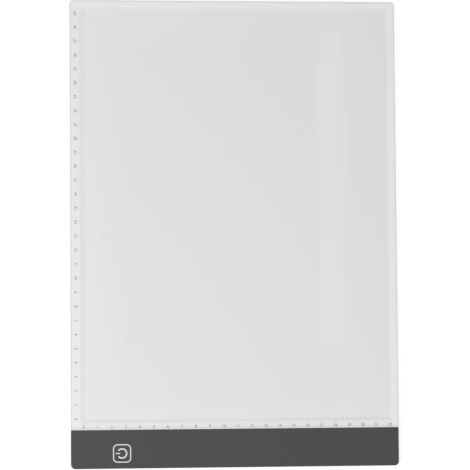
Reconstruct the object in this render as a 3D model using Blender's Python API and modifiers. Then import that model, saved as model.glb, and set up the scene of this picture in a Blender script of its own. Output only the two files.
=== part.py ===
"""A slim A4 tracing light pad. A milky sheet lies over an edge-lit light guide in a moulded tray,
and the LEDs, the touch circuit and the USB inlet are in a dark end bar made of two snapped shells.

Metres. X runs across the pad, Y along it from the bar to the far edge, and Z up from the table.
"""

import math

import bmesh
import bpy

# Outline of the pad
pad_width = 0.235
pad_length = 0.335
bar_depth = 0.02735
far_corner_radius = 0.0022
bar_corner_radius = 0.0031
corner_steps = 12

# Layers of the panel, from the table up
foot_stand = 0.001
floor_thickness = 0.0008
reflector_thickness = 0.0002
guide_thickness = 0.0025
film_thickness = 0.0002
sheet_thickness = 0.0008
layer_gap = 0.00005
seam = 0.00015

# Tray under the panel
tray_wall = 0.0012
tray_edge_radius = 0.0007
guide_side_gap = 0.0003
tongue_width = 0.0075
tongue_length = 0.008
tongue_gap = 0.0002
corner_block_depth = 0.0035

# Tapes and films between the light guide and the sheet
border_left = 0.0099
border_right = 0.00595
border_far = 0.0063
tape_margin = 0.0001
left_tape_width = 0.006
film_side_gap = 0.0002
sheet_edge_radius = 0.00035

# Shells of the end bar
bar_proud = 0.0003
bar_wall = 0.0012
bar_edge_radius = 0.001
bar_rear_radius = 0.0007
split_height = 0.0016
stiffener_thickness = 0.0008
stiffener_drop = 0.0012
stiffener_count = 6
floor_rib_height = 0.0007

# Screws, and the bosses and seats that they clamp
screw_head_radius = 0.0018
screw_head_height = 0.0007
screw_head_sink = 0.0002
screw_head_gap = 0.0002
screw_shank_radius = 0.0008
screw_length = 0.0026
screw_hole_gap = 0.00015
screw_tip_gap = 0.0002
cross_slot_width = 0.0004
cross_slot_length = 0.0019
cross_slot_depth = 0.0004
boss_radius = 0.0021
boss_gap = 0.0001
boss_hole_gap = 0.00025
seat_height = 0.0016
seat_wall = 0.0008
inner_screw_spread = 0.045
inner_screw_inset = 0.005

# Snap hooks on the rear cover, and their windows in the top cover
hook_count = 5
hook_width = 0.004
hook_thickness = 0.0008
hook_wall_gap = 0.00015
hook_catch = 0.0004
hook_catch_height = 0.0007
hook_catch_rise = 0.0005
hook_window_gap = 0.00015

# LED strip
tail_length = 0.004
tail_side_gap = 0.0005
led_count = 24
led_width = 0.003
led_height = 0.0014
led_depth = 0.0008
led_air_gap = 0.0002
led_window_rim = 0.00025
led_window_depth = 0.00015
led_board_thickness = 0.0008
led_board_inset = 0.001
led_rib_thickness = 0.001
led_rib_headroom = 0.0005
led_rib_gap = 0.0001

# Driver board
board_length = 0.057
board_thickness = 0.0008
board_wall_gap = 0.0003
board_end_gap = 0.0005
standoff_height = 0.0006
standoff_radius = 0.0016
standoff_inset = 0.0025
peg_radius = 0.0007
peg_hole_gap = 0.0002
peg_rise = 0.0005

# Parts on the driver board
part_headroom = 0.00055
key_from_left = 0.0364
foam_side = 0.012
key_pocket_margin = 0.0012
key_pocket_depth = 0.0003
foam_gap = 0.0001
part_spacing = 0.0035
chip_length = 0.0029
chip_width = 0.0016
transistor_length = 0.0049
transistor_width = 0.0039
leg_width = 0.0004
leg_length = 0.0009
leg_thickness = 0.00018
leg_pitch_chip = 0.00095
leg_pitch_transistor = 0.00127
body_lift = 0.00008
capacitor_length = 0.0032
capacitor_width = 0.0016
capacitor_height_share = 0.8
resistor_height_share = 0.5
lead_radius = 0.00045
lead_spacing = 0.002
lead_run = 0.0025
lead_notch_gap = 0.0008

# USB inlet
usb_width = 0.0075
usb_length = 0.0055
usb_clearance = 0.000325
usb_wall = 0.0003
usb_chamfer = 0.0009
usb_recess = 0.0002
usb_port_gap = 0.0002
usb_board_gap = 0.0003
usb_tab_reach = 0.0013
usb_tab_length = 0.0012
usb_tab_thickness = 0.00025
usb_block_length = 0.0016
usb_tongue_width = 0.0037
usb_tongue_thickness = 0.0006
usb_tongue_setback = 0.0006

# Feet
foot_radius = 0.004
foot_inset = 0.014
foot_recess = 0.0003
foot_side_gap = 0.0003
foot_edge_radius = 0.0004

# Working values that aren't sizes of a piece
overrun = 0.002
root = 0.0002
weld = 0.000001
round_sides = 24
small_round_sides = 12
edge_steps = 6
smooth_angle = math.radians(35)
flat_angle = math.radians(0.5)
corner_share = 1 - math.sqrt(0.5)

# Heights of the layers
rear_z = foot_stand
floor_top = rear_z + floor_thickness
reflector_z = floor_top + layer_gap
guide_z = reflector_z + reflector_thickness + layer_gap
guide_top = guide_z + guide_thickness
film_z = guide_top + layer_gap
film_top = film_z + film_thickness
sheet_z = film_top + layer_gap
sheet_top = sheet_z + sheet_thickness
bar_top = sheet_top + bar_proud
ceiling = sheet_z
split_z = rear_z + split_height

# Places across and along the pad
half_width = pad_width / 2
half_length = pad_length / 2
near_y = -half_length
joint_y = near_y + bar_depth
panel_near_y = joint_y + seam
bar_inner_x = half_width - bar_wall
bar_inner_y = near_y + bar_wall
tray_inner_x = half_width - tray_wall
tray_inner_y = half_length - tray_wall
tongue_outer_x = bar_inner_x - tongue_gap
tongue_inner_x = tongue_outer_x - tongue_width
tongue_end_y = joint_y - tongue_length
tail_half = tongue_inner_x - tail_side_gap
tail_y = joint_y - tail_length
led_face_y = tail_y - led_air_gap
led_back_y = led_face_y - led_depth
led_board_face_y = led_back_y - layer_gap
led_board_back_y = led_board_face_y - led_board_thickness
led_board_half = tail_half - led_board_inset
led_rib_face_y = led_board_back_y - led_rib_gap
led_rib_back_y = led_rib_face_y - led_rib_thickness

# The driver board lies between the LED rib and the bar's near wall, clear of its round corner
board_corner_gap = max(bar_corner_radius - bar_wall, 0) * corner_share + board_wall_gap
board_far_y = min(led_rib_back_y, tongue_end_y) - board_end_gap
hook_clear_y = bar_inner_y + hook_wall_gap + hook_thickness + board_wall_gap
board_near_y = max(bar_inner_y + board_corner_gap, hook_clear_y)
board_left_x = -bar_inner_x + board_corner_gap
board_right_x = board_left_x + board_length
board_mid_y = (board_far_y + board_near_y) / 2
board_z = floor_top + standoff_height + layer_gap
board_top = board_z + board_thickness
part_z = board_top + layer_gap
tallest_part = ceiling - part_headroom - part_z
key_x = -half_width + key_from_left
key_y = board_mid_y
usb_front_x = -half_width + usb_recess
usb_back_x = usb_front_x + usb_length

# Along the board: the inlet, a pair of posts, the chips, the small parts, the key, the leads and the
# last posts. The leads leave midway between the key's foam and those posts
first_post_x = max(board_left_x + standoff_inset, usb_back_x + usb_board_gap + standoff_radius)
small_part_x = key_x - foam_side / 2 - part_spacing
chip_x = small_part_x - capacitor_length / 2 - part_spacing - transistor_length / 2
last_post_x = board_right_x - standoff_inset
lead_x = (key_x + foam_side / 2 + last_post_x - standoff_radius) / 2

# Screws: one through each tongue of the tray, and two near the bar's free edge
tongue_screw_x = (tongue_outer_x + tongue_inner_x) / 2
tongue_screw_y = tongue_end_y + tongue_width / 2
inner_screw_x = inner_screw_spread / 2
inner_screw_y = near_y + max(inner_screw_inset, bar_wall + boss_radius + seat_wall + hook_wall_gap)
screw_places = (
    (-tongue_screw_x, tongue_screw_y),
    (tongue_screw_x, tongue_screw_y),
    (-inner_screw_x, inner_screw_y),
    (inner_screw_x, inner_screw_y),
)
seat_top = rear_z + seat_height
screw_seat_z = rear_z + screw_head_sink + screw_head_height
screw_tip_z = screw_seat_z + screw_length
head_hole_radius = screw_head_radius + screw_head_gap
boss_low = seat_top + boss_gap


# Scene, collections and helpers

for thing in list(bpy.data.objects):
    bpy.data.objects.remove(thing, do_unlink=True)


def new_collection(name):
    made = bpy.data.collections.new(name)
    bpy.context.scene.collection.children.link(made)
    return made


pad_parts = new_collection("tracing_pad")
cutters = new_collection("cutters")


def tool_group(name):
    """A collection of tool solids that one Boolean joins or cuts."""
    made = bpy.data.collections.new(name)
    cutters.children.link(made)
    return made


def finish(name, colour, roughness, metallic=0.0, alpha=1.0):
    """A Principled material; colour is an sRGB hex value."""
    made = bpy.data.materials.new(name)
    made.use_nodes = True
    shader = made.node_tree.nodes["Principled BSDF"]
    channels = [int(colour[i : i + 2], 16) / 255 for i in (0, 2, 4)]
    toe = 0.055
    linear = [c / 12.92 if c <= 0.04045 else ((c + toe) / (1 + toe)) ** 2.4 for c in channels]
    shader.inputs["Base Color"].default_value = (*linear, 1)
    shader.inputs["Roughness"].default_value = roughness
    shader.inputs["Metallic"].default_value = metallic
    shader.inputs["Alpha"].default_value = alpha
    made.diffuse_color = (*linear, alpha)
    return made


def stand(name, mesh, home, place=(0, 0, 0), material=None):
    """An object of this mesh in this collection. A tool solid has no material and isn't rendered."""
    made = bpy.data.objects.new(name, mesh)
    made.location = place
    home.objects.link(made)
    if material:
        if not made.data.materials:
            made.data.materials.append(material)
    else:
        made.hide_render = True
        made.display_type = "WIRE"
    return made


def block(name, low, high, home, material=None):
    """A box between two corners, with its origin at its middle."""
    size = [b - a for a, b in zip(low, high)]
    middle = [(a + b) / 2 for a, b in zip(low, high)]
    form = bmesh.new()
    bmesh.ops.create_cube(form, size=1)
    bmesh.ops.scale(form, vec=size, verts=form.verts)
    mesh = bpy.data.meshes.new(name)
    form.to_mesh(mesh)
    form.free()
    return stand(name, mesh, home, middle, material)


def post(name, x, y, radius, low, high, home, sides=round_sides):
    """An upright cylinder."""
    form = bmesh.new()
    bmesh.ops.create_cone(
        form, cap_ends=True, segments=sides, radius1=radius, radius2=radius, depth=high - low
    )
    mesh = bpy.data.meshes.new(name)
    form.to_mesh(mesh)
    form.free()
    return stand(name, mesh, home, (x, y, (low + high) / 2))


def rounded(corners, radii):
    """The outline through these corners, each turned into an arc of its own radius."""
    points = []
    for i, (x, y) in enumerate(corners):
        radius = radii[i]
        if radius <= 0:
            points.append((x, y))
            continue
        before, after = corners[i - 1], corners[(i + 1) % len(corners)]
        to_before = math.atan2(before[1] - y, before[0] - x)
        to_after = math.atan2(after[1] - y, after[0] - x)
        turn = math.remainder(to_after - to_before, math.tau)
        reach = radius / math.sin(abs(turn) / 2)
        towards = to_before + turn / 2
        middle_x = x + reach * math.cos(towards)
        middle_y = y + reach * math.sin(towards)
        sweep = math.pi - abs(turn)
        for step in range(corner_steps + 1):
            share = step / corner_steps - 0.5
            angle = towards + math.pi - math.copysign(1, turn) * sweep * share
            points.append((middle_x + radius * math.cos(angle), middle_y + radius * math.sin(angle)))
    return points


def settled(thing):
    """The finished mesh of a curve or a piece with modifiers, welded and facing out."""
    bpy.context.view_layer.update()
    graph = bpy.context.evaluated_depsgraph_get()
    mesh = bpy.data.meshes.new_from_object(thing.evaluated_get(graph))
    mesh.name = thing.name
    form = bmesh.new()
    form.from_mesh(mesh)
    bmesh.ops.remove_doubles(form, verts=form.verts, dist=weld)
    bmesh.ops.dissolve_limit(form, angle_limit=flat_angle, verts=form.verts, edges=form.edges)
    bmesh.ops.recalc_face_normals(form, faces=form.faces)
    form.to_mesh(mesh)
    form.free()
    return mesh


def plate(name, outline, low, high, home, material=None, across=False):
    """A flat outline given a thickness: lying in XY, or standing in YZ and running along X."""
    curve = bpy.data.curves.new(name + "_outline", "CURVE")
    curve.dimensions = "2D"
    curve.fill_mode = "BOTH"
    curve.extrude = (high - low) / 2
    spline = curve.splines.new("POLY")
    spline.points.add(len(outline) - 1)
    for point, (x, y) in zip(spline.points, outline):
        point.co = (x, y, 0, 1)
    spline.use_cyclic_u = True
    flat = bpy.data.objects.new(name + "_outline", curve)
    home.objects.link(flat)
    mesh = settled(flat)
    bpy.data.objects.remove(flat)
    middle = (low + high) / 2
    made = stand(name, mesh, home, (middle, 0, 0) if across else (0, 0, middle), material)
    if across:
        made.rotation_euler = (math.pi / 2, 0, math.pi / 2)
    return made


def tube(name, points, radius, home, material):
    """A round wire through these points."""
    curve = bpy.data.curves.new(name, "CURVE")
    curve.dimensions = "3D"
    curve.bevel_depth = radius
    curve.bevel_resolution = 2
    curve.use_fill_caps = True
    spline = curve.splines.new("POLY")
    spline.points.add(len(points) - 1)
    for point, place in zip(spline.points, points):
        point.co = (*place, 1)
    made = bpy.data.objects.new(name, curve)
    home.objects.link(made)
    curve.materials.append(material)
    return made


def turned(name, profile, place, home, material, steps=round_sides):
    """A turned piece: a profile of (radius, height), listed from the top down its outer side."""
    mesh = bpy.data.meshes.new(name)
    edges = [(i, i + 1) for i in range(len(profile) - 1)]
    mesh.from_pydata([(r, 0, z) for r, z in profile], edges, [])
    made = stand(name, mesh, home, place, material)
    screw = made.modifiers.new("turn", "SCREW")
    screw.steps = steps
    screw.render_steps = steps
    screw.use_merge_vertices = True
    screw.merge_threshold = weld
    screw.use_smooth_shade = True
    return made


def round_rim(thing, radius, side, straight_y=None):
    """Rounds the rim of a lying plate, the upper one for side 1 or the lower one for side -1.
    An edge that runs along straight_y is where the plate meets its neighbour, and stays sharp."""
    mesh = thing.data
    weights = mesh.attributes.new("bevel_weight_edge", "FLOAT", "EDGE")
    for edge in mesh.edges:
        ends = [mesh.vertices[i].co for i in edge.vertices]
        on_rim = all(end.z * side > 0 for end in ends)
        on_joint = straight_y is not None and all(abs(end.y - straight_y) < weld for end in ends)
        weights.data[edge.index].value = float(on_rim and not on_joint)
    bevel = thing.modifiers.new("rim", "BEVEL")
    bevel.limit_method = "WEIGHT"
    bevel.width = radius
    bevel.segments = edge_steps


def combine(thing, operation, tools):
    """One Boolean with every solid of a tool collection."""
    modifier = thing.modifiers.new(tools.name, "BOOLEAN")
    modifier.operation = operation
    modifier.operand_type = "COLLECTION"
    modifier.collection = tools
    modifier.solver = "EXACT"


def shade_round(thing):
    thing.data.shade_smooth()
    thing.data.set_sharp_from_angle(angle=smooth_angle)


# Finishes

milky_acrylic = finish("milky_acrylic", "E1E2E2", 0.38)
clear_acrylic = finish("clear_acrylic", "EEF4F5", 0.06, alpha=0.35)
white_film = finish("white_film", "F2F2F0", 0.5)
frosted_film = finish("frosted_film", "E6E8E9", 0.45)
white_tape = finish("white_tape", "F4F4F1", 0.6)
black_tape = finish("black_tape", "1C1C1D", 0.55)
white_abs = finish("white_abs", "E9E9E6", 0.42)
dark_abs = finish("dark_abs", "505050", 0.5)
bare_aluminium = finish("bare_aluminium", "C9CBCC", 0.35, metallic=1.0)
led_plastic = finish("led_plastic", "F3F0DA", 0.35)
green_board = finish("green_board", "1E5B3C", 0.35)
chip_plastic = finish("chip_plastic", "1A1A1C", 0.5)
ceramic = finish("ceramic", "A88B62", 0.4)
dark_ceramic = finish("dark_ceramic", "222224", 0.4)
foam = finish("conductive_foam", "3A3B3D", 0.9)
stamped_steel = finish("stamped_steel", "BDBFC1", 0.28, metallic=1.0)
screw_steel = finish("screw_steel", "8C8D90", 0.35, metallic=1.0)
red_sleeve = finish("red_sleeve", "B3211F", 0.45)
black_sleeve = finish("black_sleeve", "202022", 0.45)
rubber = finish("rubber", "2B2B2C", 0.8)


# Panel: the layers in the tray

def panel_outline():
    """The outer outline of the sheet and the tray, square where they meet the bar."""
    corners = (
        (-half_width, panel_near_y),
        (half_width, panel_near_y),
        (half_width, half_length),
        (-half_width, half_length),
    )
    return rounded(corners, (0, 0, far_corner_radius, far_corner_radius))


def guide_outline():
    """The light guide and the film under it: notched for the tray's tongues, with a tail that
    runs into the bar up to the LEDs."""
    side_x = tray_inner_x - guide_side_gap
    far_y = tray_inner_y - guide_side_gap
    notch_y = panel_near_y + corner_block_depth + guide_side_gap
    far_radius = max(far_corner_radius - tray_wall - guide_side_gap, guide_side_gap)
    corners = (
        (-tail_half, tail_y),
        (tail_half, tail_y),
        (tail_half, notch_y),
        (side_x, notch_y),
        (side_x, far_y),
        (-side_x, far_y),
        (-side_x, notch_y),
        (-tail_half, notch_y),
    )
    return rounded(corners, (0, 0, 0, 0, far_radius, far_radius, 0, 0))


def make_rear_tray():
    tray = plate("rear_tray", panel_outline(), rear_z, guide_top, pad_parts, white_abs)
    round_rim(tray, tray_edge_radius, -1, panel_near_y)
    hollow = tool_group("tray_hollow")
    inner_radius = max(far_corner_radius - tray_wall, 0)
    past_joint = panel_near_y - overrun
    corners = (
        (-tray_inner_x, past_joint),
        (tray_inner_x, past_joint),
        (tray_inner_x, tray_inner_y),
        (-tray_inner_x, tray_inner_y),
    )
    inside = rounded(corners, (0, 0, inner_radius, inner_radius))
    plate("tray_inside", inside, floor_top, guide_top + overrun, hollow)
    combine(tray, "DIFFERENCE", hollow)
    tongues = tool_group("tray_tongues")
    holes = tool_group("tray_holes")
    for side in (-1, 1):
        xs = sorted((side * tongue_inner_x, side * tongue_outer_x))
        block_xs = sorted((side * tongue_inner_x, side * (tray_inner_x + root)))
        block_far_y = panel_near_y + corner_block_depth
        low = (block_xs[0], panel_near_y, floor_top - root)
        block("corner_block", low, (block_xs[1], block_far_y, guide_top), tongues)
        low = (xs[0], tongue_end_y, boss_low)
        block("tongue", low, (xs[1], panel_near_y + root, guide_top), tongues)
        post(
            "tongue_hole",
            side * tongue_screw_x,
            tongue_screw_y,
            boss_radius + boss_hole_gap,
            boss_low - overrun,
            guide_top + overrun,
            holes,
        )
    combine(tray, "UNION", tongues)
    combine(tray, "DIFFERENCE", holes)
    recesses = tool_group("tray_recesses")
    for side in (-1, 1):
        foot_hole(side * (half_width - foot_inset), half_length - foot_inset, recesses)
    combine(tray, "DIFFERENCE", recesses)


def make_layers():
    """The reflector and the light guide fill the tray. The frosted film lies inside the tapes."""
    guide_film_top = reflector_z + reflector_thickness
    plate("reflector_film", guide_outline(), reflector_z, guide_film_top, pad_parts, white_film)
    plate("light_guide_plate", guide_outline(), guide_z, guide_top, pad_parts, clear_acrylic)
    low = (-half_width + border_left + film_side_gap, panel_near_y + film_side_gap, film_z)
    high_x = half_width - border_right - film_side_gap
    high = (high_x, half_length - border_far - film_side_gap, film_top)
    block("diffuser_film", low, high, pad_parts, frosted_film)


def make_tapes():
    """White tapes join the sheet to the tray's wall and the guide's margin on three sides. They
    stop short of the pad's outline, inside its round corners, and the left one of the film."""
    inset = far_corner_radius * corner_share + tape_margin
    near = panel_near_y + film_side_gap
    far = half_length - inset
    left_x = -half_width + inset + left_tape_width
    right_x = half_width - border_right
    block("tape_left", (-half_width + inset, near, film_z), (left_x, far, film_top), pad_parts, white_tape)
    block("tape_right", (right_x, near, film_z), (half_width - inset, far, film_top), pad_parts, white_tape)
    low = (left_x + film_side_gap, half_length - border_far, film_z)
    block("tape_far", low, (right_x - film_side_gap, far, film_top), pad_parts, white_tape)


def make_cover_sheet():
    sheet = plate("cover_sheet", panel_outline(), sheet_z, sheet_top, pad_parts, milky_acrylic)
    round_rim(sheet, sheet_edge_radius, 1, panel_near_y)
    shade_round(sheet)


# End bar: two moulded shells

def bar_outline(inset=0.0, past=0.0):
    """The bar's outline, or that of its inside, which runs past the side that meets the panel."""
    radius = max(bar_corner_radius - inset, 0)
    x = half_width - inset
    corners = ((-x, near_y + inset), (x, near_y + inset), (x, joint_y + past), (-x, joint_y + past))
    return rounded(corners, (radius, radius, 0, 0))


def usb_port(home):
    """The opening for the USB inlet in the bar's left end, cut in both covers."""
    half = usb_width / 2 + usb_port_gap
    low = (-half_width - overrun, board_mid_y - half, floor_top + usb_clearance - usb_port_gap)
    high_z = ceiling - usb_clearance + usb_port_gap
    block("usb_port", low, (-bar_inner_x + overrun, board_mid_y + half, high_z), home)


def hook_places():
    """The middles of the snap hooks, evenly spread along the bar's free edge."""
    pitch = (2 * half_width - 2 * bar_corner_radius) / hook_count
    return [pitch * (i - (hook_count - 1) / 2) for i in range(hook_count)]


def make_bar_top_cover():
    cover = plate("bar_top_cover", bar_outline(), split_z + layer_gap, bar_top, pad_parts, dark_abs)
    round_rim(cover, bar_edge_radius, 1, joint_y)
    hollow = tool_group("bar_top_hollow")
    inside = bar_outline(bar_wall, overrun)
    plate("bar_top_inside", inside, split_z - overrun, ceiling, hollow)
    combine(cover, "DIFFERENCE", hollow)
    bosses = tool_group("bar_top_bosses")
    for x, y in screw_places:
        post("boss", x, y, boss_radius, boss_low, ceiling + root, bosses)
    first = board_right_x + stiffener_thickness
    pitch = (bar_inner_x - first) / (stiffener_count + 1)
    for i in range(stiffener_count):
        x = first + pitch * (i + 1)
        low = (x - stiffener_thickness / 2, hook_clear_y, ceiling - stiffener_drop)
        block("stiffener", low, (x + stiffener_thickness / 2, board_far_y, ceiling + root), bosses)
    combine(cover, "UNION", bosses)
    holes = tool_group("bar_top_holes")
    for x, y in screw_places:
        radius = screw_shank_radius + screw_hole_gap
        post("pilot", x, y, radius, boss_low - overrun, screw_tip_z + screw_tip_gap, holes)
    window_low = split_z + hook_catch_rise - hook_window_gap
    window_high = split_z + hook_catch_rise + hook_catch_height + hook_window_gap
    window_depth = hook_catch - hook_wall_gap + hook_window_gap
    for x in hook_places():
        half = hook_width / 2 + hook_window_gap
        low = (x - half, bar_inner_y - window_depth, window_low)
        block("hook_window", low, (x + half, bar_inner_y + hook_wall_gap, window_high), holes)
    half = foam_side / 2 + key_pocket_margin
    low = (key_x - half, key_y - half, ceiling - root)
    high = (key_x + half, key_y + half, ceiling + key_pocket_depth)
    block("key_pocket", low, high, holes)
    usb_port(holes)
    combine(cover, "DIFFERENCE", holes)
    shade_round(cover)


def hook_outline():
    """A snap hook seen from the side: a thin post, and a catch with a sloping lead-in."""
    face = bar_inner_y + hook_wall_gap
    back = face + hook_thickness
    catch_z = split_z + hook_catch_rise
    top = catch_z + hook_catch_height
    return [
        (face, floor_top - root),
        (back, floor_top - root),
        (back, top),
        (face, top),
        (face - hook_catch, catch_z + layer_gap),
        (face - hook_catch, catch_z),
        (face, catch_z),
    ]


def make_bar_rear_cover():
    cover = plate("bar_rear_cover", bar_outline(), rear_z, split_z - layer_gap, pad_parts, dark_abs)
    round_rim(cover, bar_rear_radius, -1, joint_y)
    hollow = tool_group("bar_rear_hollow")
    inside = bar_outline(bar_wall, overrun)
    plate("bar_rear_inside", inside, floor_top, split_z + overrun, hollow)
    combine(cover, "DIFFERENCE", hollow)
    fittings = tool_group("bar_rear_fittings")
    for x, y in screw_places:
        post("screw_seat", x, y, head_hole_radius + seat_wall, rear_z + root, seat_top, fittings)
    low_z = floor_top - root
    rib_ends = (
        (-led_board_half, lead_x - lead_spacing - lead_radius - lead_notch_gap),
        (lead_x + lead_spacing + lead_radius + lead_notch_gap, led_board_half),
    )
    for start, end in rib_ends:
        low = (start, led_rib_back_y, low_z)
        block("led_rib", low, (end, led_rib_face_y, guide_top - led_rib_headroom), fittings)
    for x, y in standoff_places():
        post("standoff", x, y, standoff_radius, low_z, board_z - layer_gap, fittings, small_round_sides)
        post("peg", x, y, peg_radius, low_z, board_top + peg_rise, fittings, small_round_sides)
    for x in hook_places():
        outline = hook_outline()
        plate("hook", outline, x - hook_width / 2, x + hook_width / 2, fittings, across=True)
    rib_start = board_right_x + stiffener_thickness
    for y in (led_rib_back_y - board_end_gap - stiffener_thickness, board_mid_y):
        low = (rib_start, y - stiffener_thickness, low_z)
        block("floor_rib", low, (bar_inner_x + root, y, floor_top + floor_rib_height), fittings)
    combine(cover, "UNION", fittings)
    holes = tool_group("bar_rear_holes")
    for x, y in screw_places:
        radius = screw_shank_radius + screw_hole_gap
        post("screw_hole", x, y, radius, rear_z - overrun, seat_top + overrun, holes, small_round_sides)
        post("head_hole", x, y, head_hole_radius, rear_z - overrun, screw_seat_z, holes)
    for side in (-1, 1):
        foot_hole(side * (half_width - foot_inset), near_y + foot_inset, holes)
    usb_port(holes)
    combine(cover, "DIFFERENCE", holes)
    shade_round(cover)


# LED strip

def make_led_strip():
    low = (-led_board_half, led_board_back_y, floor_top + layer_gap + reflector_thickness)
    high = (led_board_half, led_board_face_y, guide_top)
    block("led_board", low, high, pad_parts, bare_aluminium)
    windows = tool_group("led_windows")
    middle_z = (guide_z + guide_top) / 2
    half = (led_width / 2, led_height / 2)
    model = block(
        "led_model",
        (-half[0], led_back_y, middle_z - half[1]),
        (half[0], led_face_y, middle_z + half[1]),
        pad_parts,
        led_plastic,
    )
    rim = led_window_rim
    block(
        "led_window",
        (-half[0] + rim, led_face_y - led_window_depth, middle_z - half[1] + rim),
        (half[0] - rim, led_face_y + overrun, middle_z + half[1] - rim),
        windows,
    )
    combine(model, "DIFFERENCE", windows)
    mesh = settled(model)
    place = model.location.copy()
    bpy.data.objects.remove(model)
    pitch = 2 * led_board_half / led_count
    for i in range(led_count):
        x = -led_board_half + pitch * (i + 1 / 2)
        stand(f"led_{i + 1:02d}", mesh, pad_parts, (x, place.y, place.z), led_plastic)
    low = (-led_board_half, led_board_back_y, film_z)
    block("light_shield_tape", low, (led_board_half, joint_y - seam, film_top), pad_parts, black_tape)


# Driver board and the parts on it

def standoff_places():
    ys = (board_near_y + standoff_inset, board_far_y - standoff_inset)
    return [(x, y) for x in (first_post_x, last_post_x) for y in ys]


def make_driver_board():
    low = (board_left_x, board_near_y, board_z)
    high = (board_right_x, board_far_y, board_top)
    board = block("driver_board", low, high, pad_parts, green_board)
    cuts = tool_group("driver_board_cuts")
    half = usb_width / 2 + usb_board_gap
    notch_x = usb_back_x + usb_board_gap
    low = (board_left_x - overrun, board_mid_y - half, board_z - overrun)
    block("usb_notch", low, (notch_x, board_mid_y + half, board_top + overrun), cuts)
    for x, y in standoff_places():
        radius = peg_radius + peg_hole_gap
        post("peg_hole", x, y, radius, board_z - overrun, board_top + overrun, cuts, small_round_sides)
    combine(board, "DIFFERENCE", cuts)


def make_legged_chip(name, x, y, length, width, height, legs, pitch):
    """A moulded chip with a row of flat legs on each long side."""
    low = (x - length / 2, y - width / 2, part_z + body_lift)
    high = (x + length / 2, y + width / 2, part_z + height)
    body = block(name, low, high, pad_parts, chip_plastic)
    rows = tool_group(name + "_legs")
    for i in range(legs):
        middle = x + pitch * (i - (legs - 1) / 2)
        low = (middle - leg_width / 2, y - width / 2 - leg_length, part_z)
        high = (middle + leg_width / 2, y + width / 2 + leg_length, part_z + leg_thickness)
        block("leg", low, high, rows)
    combine(body, "UNION", rows)


def make_board_parts():
    """The chips and the small parts stand in two rows between the USB inlet and the key's foam."""
    low = (key_x - foam_side / 2, key_y - foam_side / 2, part_z)
    high_z = ceiling + key_pocket_depth - foam_gap
    block("touch_sensor_foam", low, (key_x + foam_side / 2, key_y + foam_side / 2, high_z), pad_parts, foam)
    high_y = board_mid_y + part_spacing
    low_y = board_mid_y - part_spacing
    make_legged_chip("touch_chip", chip_x, high_y, chip_length, chip_width, tallest_part, 3, leg_pitch_chip)
    make_legged_chip(
        "power_transistor",
        chip_x,
        low_y,
        transistor_length,
        transistor_width,
        tallest_part,
        4,
        leg_pitch_transistor,
    )
    small_parts = (
        ("input_capacitor", high_y, capacitor_height_share, ceramic),
        ("current_resistor_1", board_mid_y, resistor_height_share, dark_ceramic),
        ("current_resistor_2", low_y, resistor_height_share, dark_ceramic),
    )
    for name, y, height_share, material in small_parts:
        xs = (small_part_x - capacitor_length / 2, small_part_x + capacitor_length / 2)
        high_z = part_z + tallest_part * height_share
        low = (xs[0], y - capacitor_width / 2, part_z)
        block(name, low, (xs[1], y + capacitor_width / 2, high_z), pad_parts, material)


def make_leads():
    """Two sleeved leads run from the board through the notch in the LED rib to the strip."""
    z = part_z + lead_radius
    for name, side, material in (("lead_positive", -1, red_sleeve), ("lead_negative", 1, black_sleeve)):
        x = lead_x + side * lead_spacing / 2
        end_x = lead_x + side * lead_spacing
        start_y = board_far_y - standoff_inset - standoff_radius - lead_run
        points = (
            (x, start_y, z),
            (x, board_far_y - lead_radius, z),
            ((x + end_x) / 2, (board_far_y + led_rib_back_y) / 2, z),
            (end_x, led_rib_back_y, z),
            (end_x, led_board_back_y - layer_gap, z),
        )
        tube(name, points, lead_radius, pad_parts, material)


# USB inlet

def usb_outline(inset=0.0):
    """The inlet seen from its mouth: wide at the top, with its lower corners cut off."""
    half = usb_width / 2 - inset
    low = floor_top + usb_clearance + inset
    high = ceiling - usb_clearance - inset
    cut = usb_chamfer - inset * corner_share
    return [
        (board_mid_y - half, high),
        (board_mid_y - half, low + cut),
        (board_mid_y - half + cut, low),
        (board_mid_y + half - cut, low),
        (board_mid_y + half, low + cut),
        (board_mid_y + half, high),
    ]


def make_usb_inlet():
    shell = plate(
        "usb_socket_shell", usb_outline(), usb_front_x, usb_back_x, pad_parts, stamped_steel, across=True
    )
    bore = tool_group("usb_bore")
    bore_ends = (usb_front_x - overrun, usb_back_x + overrun)
    plate("usb_inside", usb_outline(usb_wall), *bore_ends, bore, across=True)
    combine(shell, "DIFFERENCE", bore)
    tabs = tool_group("usb_tabs")
    for side in (-1, 1):
        inner = usb_width / 2 - usb_wall / 2
        ys = sorted((board_mid_y + side * inner, board_mid_y + side * (usb_width / 2 + usb_tab_reach)))
        low = (usb_back_x - usb_tab_length - usb_wall, ys[0], part_z)
        block("tab", low, (usb_back_x - usb_wall, ys[1], part_z + usb_tab_thickness), tabs)
    combine(shell, "UNION", tabs)
    inside = usb_outline(usb_wall + layer_gap)
    block_front_x = usb_back_x - usb_block_length
    insulator = plate(
        "usb_socket_insulator", inside, block_front_x, usb_back_x, pad_parts, chip_plastic, across=True
    )
    tongue = tool_group("usb_tongue")
    middle_z = (floor_top + ceiling) / 2
    half = usb_tongue_width / 2
    low = (usb_front_x + usb_tongue_setback, board_mid_y - half, middle_z)
    high = (block_front_x + root, board_mid_y + half, middle_z + usb_tongue_thickness)
    block("tongue", low, high, tongue)
    combine(insulator, "UNION", tongue)


# Screws and feet

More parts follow.
